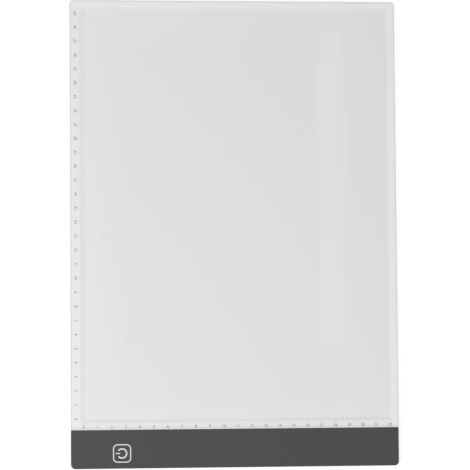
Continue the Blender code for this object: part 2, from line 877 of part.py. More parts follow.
def make_screws():
    """Pan-head screws, put in from below. Their threads are left to the finish."""
    head_low = screw_seat_z - screw_head_height
    profile = [
        (0, screw_tip_z),
        (screw_shank_radius, screw_tip_z),
        (screw_shank_radius, screw_seat_z),
        (screw_head_radius, screw_seat_z),
        (screw_head_radius, screw_seat_z - screw_head_height / 2),
    ]
    for step in range(1, edge_steps + 1):
        angle = step / edge_steps * math.pi / 2
        radius = screw_head_radius - screw_head_height / 2 * (1 - math.cos(angle))
        profile.append((radius, head_low + screw_head_height / 2 * (1 - math.sin(angle))))
    profile.append((0, head_low))
    for i, (x, y) in enumerate(screw_places):
        screw = turned(f"bar_screw_{i + 1}", profile, (x, y, -layer_gap), pad_parts, screw_steel)
        slots = tool_group(f"bar_screw_{i + 1}_slots")
        for across, along in ((cross_slot_width, cross_slot_length), (cross_slot_length, cross_slot_width)):
            low = (x - across / 2, y - along / 2, head_low - overrun)
            high = (x + across / 2, y + along / 2, head_low + cross_slot_depth)
            block("slot", low, high, slots)
        combine(screw, "DIFFERENCE", slots)


def foot_hole(x, y, home):
    """The shallow round recess that a foot is bonded into."""
    post("foot_hole", x, y, foot_radius + foot_side_gap, rear_z - overrun, rear_z + foot_recess, home)


def make_feet():
    top = rear_z + foot_recess - layer_gap
    profile = [(0, top), (foot_radius, top), (foot_radius, foot_edge_radius)]
    for step in range(1, edge_steps + 1):
        angle = step / edge_steps * math.pi / 2
        radius = foot_radius - foot_edge_radius * (1 - math.cos(angle))
        profile.append((radius, foot_edge_radius * (1 - math.sin(angle))))
    profile.append((0, 0))
    x = half_width - foot_inset
    places = (
        ("foot_bar_left", -x, near_y + foot_inset),
        ("foot_bar_right", x, near_y + foot_inset),
        ("foot_far_left", -x, half_length - foot_inset),
        ("foot_far_right", x, half_length - foot_inset),
    )
    for name, foot_x, foot_y in places:
        turned(name, profile, (foot_x, foot_y, 0), pad_parts, rubber)


make_rear_tray()
make_layers()
make_tapes()
make_cover_sheet()
make_bar_rear_cover()
make_bar_top_cover()
make_led_strip()
make_driver_board()
make_board_parts()
make_leads()
make_usb_inlet()
make_screws()
make_feet()
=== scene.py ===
"""The looks of an A4 tracing light pad that is switched off: a milky acrylic sheet with printed
scales, over a light guide in a white tray, and a dark end bar with the touch key, the LEDs, their
driver board and the USB inlet. Metres, in the frame's axes: Z up, the bar towards -Y.
"""
import math

import bmesh
import bpy
from mathutils import Matrix, Vector


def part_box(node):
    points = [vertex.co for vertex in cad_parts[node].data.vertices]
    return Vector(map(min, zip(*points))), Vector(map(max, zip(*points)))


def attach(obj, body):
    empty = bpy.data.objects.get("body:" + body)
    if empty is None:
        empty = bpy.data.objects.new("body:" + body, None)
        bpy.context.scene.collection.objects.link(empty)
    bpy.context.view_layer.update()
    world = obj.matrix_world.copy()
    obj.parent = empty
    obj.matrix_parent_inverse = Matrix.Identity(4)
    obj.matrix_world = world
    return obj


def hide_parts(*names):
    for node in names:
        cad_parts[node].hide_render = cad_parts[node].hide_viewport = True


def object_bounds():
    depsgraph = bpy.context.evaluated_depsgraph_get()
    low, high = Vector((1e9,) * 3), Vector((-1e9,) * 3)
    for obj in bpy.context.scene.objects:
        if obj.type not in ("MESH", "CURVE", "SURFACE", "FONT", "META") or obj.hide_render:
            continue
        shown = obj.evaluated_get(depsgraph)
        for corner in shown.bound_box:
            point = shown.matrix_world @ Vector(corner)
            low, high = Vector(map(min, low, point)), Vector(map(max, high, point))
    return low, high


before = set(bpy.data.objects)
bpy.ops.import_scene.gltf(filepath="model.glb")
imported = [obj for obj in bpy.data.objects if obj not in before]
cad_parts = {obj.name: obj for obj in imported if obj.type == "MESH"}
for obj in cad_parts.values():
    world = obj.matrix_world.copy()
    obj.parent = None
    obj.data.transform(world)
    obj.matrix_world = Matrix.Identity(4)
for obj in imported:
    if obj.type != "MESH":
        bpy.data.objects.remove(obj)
cad_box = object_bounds()


# The rear tray is the white back of the pad: a shallow box, injection moulded in ABS in a
# spark-eroded mould, which gives it an even matt grain. It stands for the whole underside of the
# panel, and its two tongues are locked in the end bar.
tray_colour = "E9E9E6"
tray_roughness = 0.46
tray_grain = 0.0003
tray_grain_depth = 0.000008
flow_length = 0.045
flow_sheen = 0.05
grain_tone = 0.04
crease = math.radians(32)
flat = math.radians(0.3)
touching = 1e-7


def linear(colour):
    """The linear colour of an sRGB hex value."""
    channels = [int(colour[i : i + 2], 16) / 255 for i in (0, 2, 4)]
    return (*[c / 12.92 if c <= 0.04045 else ((c + 0.055) / 1.055) ** 2.4 for c in channels], 1)


def plug(made, inputs):
    """Sets a node's inputs. One that is given a socket is linked to it."""
    for name, value in inputs.items():
        if isinstance(value, bpy.types.NodeSocket):
            made.id_data.links.new(value, made.inputs[name])
        else:
            made.inputs[name].default_value = value


def add(tree, kind, inputs=None, **settings):
    """Adds a node with its settings and inputs."""
    made = tree.nodes.new(kind)
    for name, value in settings.items():
        setattr(made, name, value)
    plug(made, inputs or {})
    return made


def finish(name, colour, roughness, **inputs):
    """A material of one colour: the material, its shader and its Object coordinates."""
    made = bpy.data.materials.new(name)
    made.use_nodes = True
    shader = made.node_tree.nodes["Principled BSDF"]
    plug(shader, {"Base Color": linear(colour), "Roughness": roughness})
    plug(shader, {key.replace("_", " "): value for key, value in inputs.items()})
    return made, shader, add(made.node_tree, "ShaderNodeTexCoord").outputs["Object"]


def dent(shader, height, depth):
    """Raises a surface where this height is 1, and shows that in its shading."""
    bump = add(shader.id_data, "ShaderNodeBump", {"Height": height, "Distance": depth})
    plug(shader, {"Normal": bump.outputs["Normal"]})


def noise(place, size, detail=2):
    """Soft random blotches of this size, between 0 and 1."""
    blotches = {"Vector": place, "Scale": 1 / size, "Detail": detail}
    return add(place.id_data, "ShaderNodeTexNoise", blotches).outputs["Fac"]


def shade(shader, colour, height, least, most):
    """Darkens or lightens a colour: times least where the height is 0, times most where it is 1."""
    level = {"Value": height, "To Min": least, "To Max": most}
    level = add(shader.id_data, "ShaderNodeMapRange", level).outputs["Result"]
    tone = {"Color": linear(colour), "Value": level}
    tone = add(shader.id_data, "ShaderNodeHueSaturation", tone)
    plug(shader, {"Base Color": tone.outputs["Color"]})


def drift(shader, height, roughness, change):
    """Lets the sheen drift by this much to each side of its roughness."""
    ends = {"To Min": roughness - change, "To Max": roughness + change}
    sheen = add(shader.id_data, "ShaderNodeMapRange", {"Value": height, **ends})
    plug(shader, {"Roughness": sheen.outputs["Result"]})


def moulded_plastic(name, colour, roughness, grain, depth):
    """ABS from a spark-eroded mould: a matt grain, and a sheen that drifts with the melt's flow."""
    made, shader, place = finish(name, colour, roughness, IOR=1.54, Specular_IOR_Level=0.25)
    sparks = noise(place, grain, detail=3)
    shade(shader, colour, sparks, 1 - grain_tone, 1 + grain_tone)
    drift(shader, noise(place, flow_length), roughness, flow_sheen)
    dent(shader, sparks, depth)
    return made


def smoothed(form, mesh):
    """Writes a form to a mesh that is shaded smooth but for its real edges."""
    form.to_mesh(mesh)
    form.free()
    mesh.shade_smooth()
    mesh.set_sharp_from_angle(angle=crease)
    return mesh


def closed_copy(node):
    """A closed mesh of a CAD node's shape."""
    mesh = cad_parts[node].data.copy()
    form = bmesh.new()
    form.from_mesh(mesh)
    bmesh.ops.remove_doubles(form, verts=form.verts, dist=touching)
    bmesh.ops.dissolve_limit(form, angle_limit=flat, verts=form.verts, edges=form.edges)
    bmesh.ops.recalc_face_normals(form, faces=form.faces)
    return smoothed(form, mesh)


def settle(piece, slot, *nodes):
    """The piece rides on the pad, and hides the CAD nodes it stands for. The slot is not used."""
    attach(piece, "root")
    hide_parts(*nodes)


def stand(name, mesh, material):
    """An object at the origin, with its place in its mesh."""
    mesh.materials.clear()
    mesh.materials.append(material)
    made = bpy.data.objects.new(name, mesh)
    bpy.context.scene.collection.objects.link(made)
    return made


def finished_copy(name, node, material, slot, edge=0):
    """A closed copy that replaces its CAD node, with its edges broken by a small round."""
    piece = stand(name, closed_copy(node), material)
    if edge:
        round_over = piece.modifiers.new("broken_edges", "BEVEL")
        round_over.width = edge
        round_over.segments = 2
        round_over.limit_method = "ANGLE"
        round_over.angle_limit = crease
        round_over.harden_normals = True
    else:
        even = piece.modifiers.new("flat_faces", "WEIGHTED_NORMAL")
        even.keep_sharp = True
    settle(piece, slot, node)
    return piece


white_abs = moulded_plastic(
    "moulded_white_abs", tray_colour, tray_roughness, tray_grain, tray_grain_depth
)
finished_copy("tray_moulding", "rear_tray", white_abs, "white_abs")


# The reflector lies in the tray: white PET film, 0.2 mm thick, filled so that it sends the light
# back up. It is smooth and faintly pearly.
reflector_colour = "F2F2F0"
reflector_roughness = 0.38
pearl_size = 0.0012
pearl_depth = 0.000004


def cells(place, size):
    """How far each point is from the middle of its cell, in random cells of this size."""
    pattern = {"Vector": place, "Scale": 1 / size}
    return add(place.id_data, "ShaderNodeTexVoronoi", pattern).outputs["Distance"]


def carry_over(node, material):
    """A CAD node that is shown as it is, in a better material."""
    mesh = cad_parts[node].data
    mesh.materials.clear()
    mesh.materials.append(material)


white_pet, shader, place = finish("white_pet_film", reflector_colour, reflector_roughness, IOR=1.57)
dent(shader, cells(place, pearl_size), pearl_depth)
carry_over("reflector_film", white_pet)


# The light guide is laser-cut clear acrylic with polished edges. White dots are screen printed
# under it, and they grow with the distance from the LEDs, so that the light comes out evenly. Real
# dots stand about 1 mm apart: these are coarser, so that they show.
guide_colour = "F4F8F8"
guide_roughness = 0.04
guide_edge = 0.0001
dot_colour = "FAFAF8"
dot_roughness = 0.7
dot_pitch = 0.005
dot_least = 0.0006
dot_most = 0.0019
dot_thickness = 0.00002
dot_sides = 8
dot_margin = 0.004
paste_grain = 0.0002


def compute(tree, operation, *values):
    """What one math node makes of these values."""
    return add(tree, "ShaderNodeMath", dict(enumerate(values)), operation=operation).outputs[0]


def new_tree(name, **sizes):
    """A Geometry Nodes tree with a named input for each size: the tree, and those sockets."""
    tree = bpy.data.node_groups.new(name, "GeometryNodeTree")
    for label, kind in {**sizes, "Material": "Material"}.items():
        tree.interface.new_socket(label.replace("_", " "), socket_type="NodeSocket" + kind)
    tree.interface.new_socket("Geometry", in_out="OUTPUT", socket_type="NodeSocketGeometry")
    return tree, add(tree, "NodeGroupInput").outputs


def end_tree(tree, size, geometry):
    """Closes a tree: its instances become real, in the material that it is given."""
    whole = add(tree, "GeometryNodeRealizeInstances", {"Geometry": geometry})
    coated = {"Geometry": whole.outputs[0], "Material": size["Material"]}
    coated = add(tree, "GeometryNodeSetMaterial", coated)
    add(tree, "NodeGroupOutput", {"Geometry": coated.outputs["Geometry"]})


def grown(name, tree, material, slot, place=(0, 0, 0), turn=0, nodes=(), **sizes):
    """What a tree makes of these sizes, as a plain mesh at its place, which rides on the pad."""
    piece = stand(name, bpy.data.meshes.new(name), material)
    modifier = piece.modifiers.new(name, "NODES")
    modifier.node_group = tree
    for item in tree.interface.items_tree:
        if item.in_out == "INPUT":
            modifier[item.identifier] = {**sizes, "Material": material}[item.name.replace(" ", "_")]
    bpy.context.view_layer.update()
    graph = bpy.context.evaluated_depsgraph_get()
    mesh = bpy.data.meshes.new_from_object(piece.evaluated_get(graph))
    piece.modifiers.remove(modifier)
    mesh.transform(Matrix.Translation(place) @ Matrix.Rotation(turn, 4, "Z"))
    mesh.materials.clear()
    mesh.materials.append(material)
    piece.data = mesh
    settle(piece, slot, *nodes)
    return piece


cut_acrylic, shader, place = finish(
    "laser_cut_acrylic", guide_colour, guide_roughness, IOR=1.49, Transmission_Weight=1.0
)
finished_copy("light_guide", "light_guide_plate", cut_acrylic, "clear_acrylic", guide_edge)

white_dot_ink, shader, place = finish("white_dot_ink", dot_colour, dot_roughness)
dent(shader, noise(place, paste_grain), dot_thickness)
tree, size = new_tree(
    "printed_dots",
    Columns="Int", Rows="Int", Pitch="Float", Least="Float", Most="Float", Thickness="Float",
)
width = compute(tree, "MULTIPLY", compute(tree, "SUBTRACT", size["Columns"], 1), size["Pitch"])
length = compute(tree, "MULTIPLY", compute(tree, "SUBTRACT", size["Rows"], 1), size["Pitch"])
grid = {"Vertices X": size["Columns"], "Vertices Y": size["Rows"]}
grid = {"Size X": width, "Size Y": length, **grid}
grid = add(tree, "GeometryNodeMeshGrid", grid)
dot = {"Radius": 1.0, "Depth": size["Thickness"], "Vertices": dot_sides}
dot = add(tree, "GeometryNodeMeshCylinder", dot)
along = add(tree, "ShaderNodeSeparateXYZ", {0: add(tree, "GeometryNodeInputPosition").outputs[0]})
half = compute(tree, "MULTIPLY", length, 0.5)
ends = {"From Min": compute(tree, "MULTIPLY", half, -1.0), "From Max": half}
radius = {"Value": along.outputs["Y"], "To Min": size["Least"], "To Max": size["Most"], **ends}
radius = add(tree, "ShaderNodeMapRange", radius).outputs["Result"]
spread = add(tree, "ShaderNodeCombineXYZ", {0: radius, 1: radius, 2: 1.0}).outputs[0]
dots = {"Points": grid.outputs["Mesh"], "Instance": dot.outputs["Mesh"], "Scale": spread}
end_tree(tree, size, add(tree, "GeometryNodeInstanceOnPoints", dots).outputs[0])
film_low, film_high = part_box("diffuser_film")
middle = (film_low + film_high) / 2
dots_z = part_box("light_guide_plate")[0].z - dot_thickness / 2
grown(
    "light_guide_dots", tree, white_dot_ink, "white_film", (middle.x, middle.y, dots_z),
    Columns=int((film_high.x - film_low.x - 2 * dot_margin) / dot_pitch) + 1,
    Rows=int((film_high.y - film_low.y - 2 * dot_margin) / dot_pitch) + 1,
    Pitch=dot_pitch, Least=dot_least, Most=dot_most, Thickness=dot_thickness,
)


# The diffuser is a frosted PET film inside the tapes. Its upper face is embossed with fine beads.
frosted_colour = "E9EBEB"
frosted_roughness = 0.5
bead_size = 0.0005
bead_depth = 0.00002

frosted_pet, shader, place = finish("frosted_pet_film", frosted_colour, frosted_roughness, IOR=1.57)
dent(shader, cells(place, bead_size), bead_depth)
carry_over("diffuser_film", frosted_pet)


# The bar's rear cover is the lower of two dark ABS shells, from a spark-eroded mould. It carries
# the snap hooks, the screw seats, the rib for the LED strip and the posts for the driver board.
bar_colour = "424242"
bar_roughness = 0.48
bar_grain = 0.00035
bar_grain_depth = 0.000012

dark_abs = moulded_plastic(
    "moulded_dark_abs", bar_colour, bar_roughness, bar_grain, bar_grain_depth
)
finished_copy("rear_moulding", "bar_rear_cover", dark_abs, "dark_abs")


# The LED strip stands on edge behind the light guide's end: an aluminium-core board with a white
# solder mask on the side that carries 24 side-view LEDs. Each LED is a white nylon cup, filled with
# yellow phosphor gel, and soldered down at its two ends.
strip_colour = "C9CBCC"
strip_roughness = 0.34
rolling_width = 0.0004
rolling_length = 0.02
rolling_sheen = 0.08
mask_colour = "F3F3EF"
mask_roughness = 0.3
mask_depth = 0.00005
strip_edge = 0.00008
led_count = 24
cup_colour = "F4F2EA"
cup_roughness = 0.36
gel_colour = "E6BE3C"
gel_roughness = 0.25
gel_grain = 0.00012
fill_depth = 0.0000001
gel_height = 0.00012
gel_drop = 0.0000325
cup_rim = 0.00026
gel_round = 0.00004
solder_colour = "C4C6C8"
solder_roughness = 0.24
solder_grain = 0.0003
solder_depth = 0.000015
joint_length = 0.0005
joint_height = 0.0003
joint_overlap = 0.00005
joint_round = 0.00012
sharp = 0.00001
row_seed = 4


def past(axes, axis, line, way=1, blur=sharp):
    """1 on one side of a line across a piece, and 0 on the other."""
    ends = {"From Min": line - way * blur / 2, "From Max": line + way * blur / 2}
    mask = {"Value": axes.outputs[axis], **ends}
    return add(axes.id_data, "ShaderNodeMapRange", mask).outputs["Result"]


def joined(operation, *masks):
    """These masks as one: where any of them holds, or all of them."""
    whole = masks[0]
    for mask in masks[1:]:
        whole = compute(whole.id_data, operation, whole, mask)
    return whole


def overlay(shader, mask, **values):
    """Another finish where the mask is 1, over the one that the shader has."""
    for name, value in values.items():
        under = shader.inputs[name.replace("_", " ")]
        below = under.links[0].from_socket if under.is_linked else under.default_value
        if name == "Base_Color":
            mixed = {0: mask, 6: below if under.is_linked else tuple(below), 7: linear(value)}
            mixed = add(shader.id_data, "ShaderNodeMix", mixed, data_type="RGBA").outputs[2]
        else:
            mixed = add(shader.id_data, "ShaderNodeMix", {0: mask, 2: below, 3: value}).outputs[0]
        plug(shader, {under.name: mixed})


def split_axes(place):
    """The place's three coordinates."""
    return add(place.id_data, "ShaderNodeSeparateXYZ", {0: place})


def streaks(place, length, width, detail=2):
    """Soft random streaks along X, of this length and width, between 0 and 1."""
    scale = (1 / length, 1 / width, 1 / width)
    drawn = add(place.id_data, "ShaderNodeMapping", {"Vector": place, "Scale": scale})
    return noise(drawn.outputs["Vector"], 1, detail)


def rounded_block(low, high, radius):
    """A block between two corners, with its edges rounded."""
    form = bmesh.new()
    bmesh.ops.create_cube(form, size=1)
    bmesh.ops.scale(form, vec=Vector(high) - Vector(low), verts=form.verts)
    bmesh.ops.translate(form, vec=(Vector(low) + Vector(high)) / 2, verts=form.verts)
    bmesh.ops.bevel(
        form, geom=form.edges[:], offset=radius, segments=2, profile=0.5, affect="EDGES"
    )
    return smoothed(form, bpy.data.meshes.new("block"))


row_tree, size = new_tree(
    "parts_in_rows",
    Part="Object", Count="Int", Each="Int", Step="Vector", Pitch="Vector", Turn="Float", Seed="Int",
)
index = add(row_tree, "GeometryNodeInputIndex").outputs[0]
along = {0: size["Step"], "Scale": compute(row_tree, "MODULO", index, size["Each"])}
along = add(row_tree, "ShaderNodeVectorMath", along, operation="SCALE")
row = compute(row_tree, "FLOOR", compute(row_tree, "DIVIDE", index, size["Each"]))
across = {0: size["Pitch"], "Scale": row}
across = add(row_tree, "ShaderNodeVectorMath", across, operation="SCALE")
spot = add(row_tree, "ShaderNodeVectorMath", {0: along.outputs[0], 1: across.outputs[0]})
spots = add(row_tree, "GeometryNodePoints", {"Count": size["Count"], "Position": spot.outputs[0]})
turned_by = {"Max": size["Turn"], "Seed": size["Seed"]}
turned_by = add(row_tree, "FunctionNodeRandomValue", turned_by, data_type="FLOAT")
turned_by = add(row_tree, "ShaderNodeCombineXYZ", {2: turned_by.outputs["Value"]}).outputs[0]
part = add(row_tree, "GeometryNodeObjectInfo", {"Object": size["Part"]}).outputs["Geometry"]
parts = {"Points": spots.outputs[0], "Instance": part, "Rotation": turned_by}
end_tree(row_tree, size, add(row_tree, "GeometryNodeInstanceOnPoints", parts).outputs[0])


def in_rows(
    name, mesh, material, slot, count, each, step,
    pitch=(0, 0, 0), place=(0, 0, 0), turn=0.0, nodes=(),
):
    """A part repeated in rows: so many in each row, a step apart, and the rows a pitch apart."""
    part = stand(name + "_part", mesh, material)
    sizes = {"Part": part, "Count": count, "Each": each, "Step": step, "Pitch": pitch}
    sizes = {"Turn": turn, "Seed": row_seed, **sizes}
    grown(name, row_tree, material, slot, place, nodes=nodes, **sizes)
    bpy.data.objects.remove(part)


strip_board, shader, place = finish(
    "white_masked_aluminium", strip_colour, strip_roughness, Metallic=1.0
)
rolled = streaks(place, rolling_length, rolling_width, detail=3)
drift(shader, rolled, strip_roughness, rolling_sheen)
face_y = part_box("led_board")[1].y
masked = past(split_axes(place), "Y", face_y - mask_depth)
overlay(shader, masked, Base_Color=mask_colour, Metallic=0.0, Roughness=mask_roughness)
finished_copy("strip_board", "led_board", strip_board, "strip_aluminium", strip_edge)

white_cup, shader, place = finish("white_nylon_cup", cup_colour, cup_roughness, IOR=1.53)
dent(shader, noise(place, gel_grain), fill_depth)
for i in range(led_count):
    carry_over(f"led_{i + 1:02d}", white_cup)

phosphor, shader, place = finish(
    "yellow_phosphor_gel", gel_colour, gel_roughness, IOR=1.41, Subsurface_Weight=0.2
)
dent(shader, cells(place, gel_grain), fill_depth)
low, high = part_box("led_01")
led_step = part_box("led_02")[0] - low
gel_low = (low.x + cup_rim, high.y - gel_height - gel_drop, low.z + cup_rim)
gel_high = (high.x - cup_rim, high.y - gel_drop, high.z - cup_rim)
gel = rounded_block(gel_low, gel_high, gel_round)
in_rows("led_phosphor", gel, phosphor, "led_plastic", led_count, led_count, led_step)

solder, shader, place = finish("tin_solder", solder_colour, solder_roughness, Metallic=1.0)
dent(shader, noise(place, solder_grain), solder_depth)
joint_low = (low.x + joint_overlap - joint_length, face_y, low.z)
joint_high = (low.x + joint_overlap, face_y + joint_height, high.z)
joint = rounded_block(joint_low, joint_high, joint_round)
span = (high.x - low.x + joint_length - 2 * joint_overlap, 0, 0)
in_rows("led_solder_joints", joint, solder, "stamped_steel", 2 * led_count, 2, span, led_step)


# Black polyester tape is stuck over the LED row. It is glossy film on a thin adhesive, so it shows
# only a faint drawing along its length, and it keeps the LEDs' light out of the bar.
shield_colour = "17181A"
shield_roughness = 0.3
drawing_length = 0.03
drawing_width = 0.0006
drawing_depth = 0.000003

black_polyester, shader, place = finish(
    "black_polyester_tape", shield_colour, shield_roughness, IOR=1.57
)
dent(shader, streaks(place, drawing_length, drawing_width), drawing_depth)
carry_over("light_shield_tape", black_polyester)


# The driver board is glass-fibre laminate with green solder mask on both faces. The copper under
# the mask shows as lighter tracks, and the sawn edges show the bare yellowish laminate.
track_colour = "2C7A4B"
board_colour = "1B5A38"
board_roughness = 0.28
laminate_colour = "B9A86A"
laminate_roughness = 0.75
ply_pitch = 0.0002
wave_rate = 20
mask_film = 0.00004
copper_size = 0.0034
copper_spread = 0.85
clearance = 0.06
copper_slope = 0.012
track_height = 0.00002
board_edge = 0.00004

fibre_board, shader, place = finish("green_masked_laminate", board_colour, board_roughness, IOR=1.5)
tree = fibre_board.node_tree
areas = {"Vector": place, "Scale": 1 / copper_size, "Randomness": copper_spread}
nearest = add(tree, "ShaderNodeTexVoronoi", areas, distance="CHEBYCHEV")
second = add(tree, "ShaderNodeTexVoronoi", areas, distance="CHEBYCHEV", feature="F2")
apart = compute(tree, "SUBTRACT", second.outputs["Distance"], nearest.outputs["Distance"])
copper = {"Value": apart, "From Min": clearance - copper_slope, "From Max": clearance}
copper = add(tree, "ShaderNodeMapRange", copper).outputs["Result"]
overlay(shader, copper, Base_Color=track_colour)
dent(shader, copper, track_height)
axes = split_axes(place)
low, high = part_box("driver_board")
board_top = high.z
sawn = (past(axes, "Z", low.z + mask_film), past(axes, "Z", high.z - mask_film, -1))
sawn = joined("MULTIPLY", *sawn)
plies = {"Vector": place, "Scale": 1 / ply_pitch / wave_rate}
plies = add(tree, "ShaderNodeTexWave", plies, bands_direction="Z").outputs["Fac"]
overlay(shader, sawn, Base_Color=laminate_colour, Roughness=laminate_roughness)
overlay(shader, joined("MULTIPLY", sawn, plies), Base_Color=cup_colour)
finished_copy("circuit_board", "driver_board", fibre_board, "green_board", board_edge)


# The touch chip and the power transistor are black epoxy mouldings with tinned legs. A small dimple
# marks the first leg. They are soldered to the board by their legs' ends.
epoxy_colour = "1D1E20"
epoxy_roughness = 0.52
epoxy_grain = 0.00008
epoxy_depth = 0.000003
leg_length = 0.0009
leg_colour = "BFC1C2"
tin_roughness = 0.3
dimple_inset = 0.00055
dimple_radius = 0.00022
dimple_floor = 0.000176
dimple_depth = 0.00006
chip_edge = 0.00004
fillet_half = 0.00028
fillet_reach = 0.0003
fillet_height = 0.00022
fillet_round = 0.00009
chip_legs = {
    # legs on each side, and their pitch
    "touch_chip": (3, 0.00095),
    "power_transistor": (4, 0.00127),
}

for node, (legs, leg_pitch) in chip_legs.items():
    low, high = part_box(node)
    epoxy, shader, place = finish(f"moulded_epoxy_{node}", epoxy_colour, epoxy_roughness, IOR=1.55)
    tree = epoxy.node_tree
    corner = (low.x + dimple_inset, low.y + leg_length + dimple_inset, high.z)
    dimple = add(tree, "ShaderNodeVectorMath", {0: place, 1: corner}, operation="DISTANCE")
    dimple = {"Value": dimple.outputs["Value"], "From Min": dimple_radius, "From Max": dimple_floor}
    dimple = add(tree, "ShaderNodeMapRange", dimple).outputs["Result"]
    grit = noise(place, epoxy_grain)
    relief = compute(tree, "MULTIPLY_ADD", dimple, -dimple_depth / epoxy_depth, grit)
    dent(shader, relief, epoxy_depth)
    axes = split_axes(place)
    tinned = (past(axes, "Y", low.y + leg_length, -1), past(axes, "Y", high.y - leg_length))
    tinned = joined("MAXIMUM", *tinned)
    overlay(shader, tinned, Base_Color=leg_colour, Metallic=1.0, Roughness=tin_roughness)
    finished_copy(f"{node}_moulding", node, epoxy, "chip_plastic", chip_edge)
    first_x = (low.x + high.x) / 2 - leg_pitch * (legs - 1) / 2
    fillet_low = (first_x - fillet_half, low.y - fillet_reach, board_top)
    fillet_high = (first_x + fillet_half, low.y + fillet_reach, board_top + fillet_height)
    fillet = rounded_block(fillet_low, fillet_high, fillet_round)
    in_rows(
        f"{node}_solder", fillet, solder, "stamped_steel",
        2 * legs, legs, (leg_pitch, 0, 0), (0, high.y - low.y, 0),
    )


# The input capacitor and the two current resistors are fired ceramic blocks with tinned end caps:
# the capacitor plain tan, the resistors white with a black glazed film on top.
tan_colour = "A98D66"
alumina_colour = "E4E2DC"
film_colour = "1E1F21"
cap_length = 0.00045
film_depth = 0.00005
fired_roughness = 0.45
film_roughness = 0.2
ceramic_grain = 0.00015
ceramic_depth = 0.000002
ceramic_edge = 0.00008
small_parts = {
    "input_capacitor": ("fired_titanate", tan_colour, "ceramic"),
    "current_resistor_1": ("glazed_alumina_1", alumina_colour, "dark_ceramic"),
    "current_resistor_2": ("glazed_alumina_2", alumina_colour, "dark_ceramic"),
}

for node, (name, body_colour, slot) in small_parts.items():
    low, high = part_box(node)
    fired, shader, place = finish(name, body_colour, fired_roughness)
    dent(shader, noise(place, ceramic_grain), ceramic_depth)
    axes = split_axes(place)
    if slot == "dark_ceramic":
        glazed = past(axes, "Z", high.z - film_depth)
        overlay(shader, glazed, Base_Color=film_colour, Roughness=film_roughness)
    capped = (past(axes, "X", low.x + cap_length, -1), past(axes, "X", high.x - cap_length))
    capped = joined("MAXIMUM", *capped)
    overlay(shader, capped, Base_Color=leg_colour, Metallic=1.0, Roughness=tin_roughness)
    finished_copy(f"{node}_block", node, fired, slot, ceramic_edge)
low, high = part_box("current_resistor_2")
row_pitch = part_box("current_resistor_1")[0] - low
joint_low = (low.x - fillet_reach, low.y, board_top)
joint_high = (low.x + fillet_reach / 2, high.y, board_top + fillet_height)
joint = rounded_block(joint_low, joint_high, fillet_round)
span = (high.x - low.x + fillet_reach / 2, 0, 0)
in_rows(
    "small_part_solder", joint, solder, "stamped_steel", 2 * len(small_parts), 2, span, row_pitch
)


# The USB inlet is a shell folded from nickel-plated steel, with its seam underneath, round a black
# nylon block. Five gold-plated contacts lie under the block's tongue.
nickel_colour = "C8C6C1"
nickel_roughness = 0.2
stamping_length = 0.004
stamping_sheen = 0.06
seam_half = 0.00006
seam_depth = 0.0003
seam_colour = "3C3A37"
seam_roughness = 0.6
shell_edge = 0.00005
nylon_colour = "18191B"
nylon_roughness = 0.5
nylon_grain = 0.0001
nylon_depth = 0.000003
gold_colour = "D9B45B"
gold_roughness = 0.2
wipe_depth = 0.0000001
contact_count = 5
contact_pitch = 0.00065
contact_width = 0.0003
contact_length = 0.0026
contact_start = 0.00025
contact_thickness = 0.00005
contact_round = 0.00001

nickel, shader, place = finish("nickel_plated_steel", nickel_colour, nickel_roughness, Metallic=1.0)
drift(shader, noise(place, stamping_length, detail=4), nickel_roughness, stamping_sheen)
axes = split_axes(place)
low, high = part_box("usb_socket_shell")
middle = (low + high) / 2
seam = joined(
    "MULTIPLY",
    past(axes, "Y", middle.y - seam_half),
    past(axes, "Y", middle.y + seam_half, -1),
    past(axes, "Z", low.z + seam_depth, -1),
)
overlay(shader, seam, Base_Color=seam_colour, Roughness=seam_roughness)
finished_copy("usb_shell", "usb_socket_shell", nickel, "stamped_steel", shell_edge)

black_nylon, shader, place = finish(
    "black_glass_filled_nylon", nylon_colour, nylon_roughness, IOR=1.53
)
dent(shader, noise(place, nylon_grain), nylon_depth)
finished_copy("usb_insulator", "usb_socket_insulator", black_nylon, "chip_plastic", shell_edge)

gold, shader, place = finish("gold_plated_contact", gold_colour, gold_roughness, Metallic=1.0)
dent(shader, noise(place, contact_width), wipe_depth)
first_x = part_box("usb_socket_insulator")[0].x + contact_start
first_y = middle.y - contact_pitch * (contact_count - 1) / 2
contact_low = (first_x, first_y - contact_width / 2, middle.z - contact_thickness / 2)
contact_high = (
    first_x + contact_length, first_y + contact_width / 2, middle.z + contact_thickness / 2
)
contact = rounded_block(contact_low, contact_high, contact_round)
step = (0, contact_pitch, 0)
in_rows("usb_contacts", contact, gold, "stamped_steel", contact_count, contact_count, step)


# Two leads carry the current from the board to the LED strip: tinned copper in soft PVC sleeves,
# one red and one black, stripped and soldered at both ends.
red_colour = "B3211F"
black_colour = "1B1B1C"
sleeve_roughness = 0.38
sleeve_grain = 0.0015
sleeve_depth = 0.00001
sleeve_start = 0.14
sleeve_end = 0.9
core_share = 0.5
bend_share = 0.45
lead_sides = 14
lead_steps = 32
blob_reach = 0.0005
blob_height = 0.0006
blob_round = 0.00025

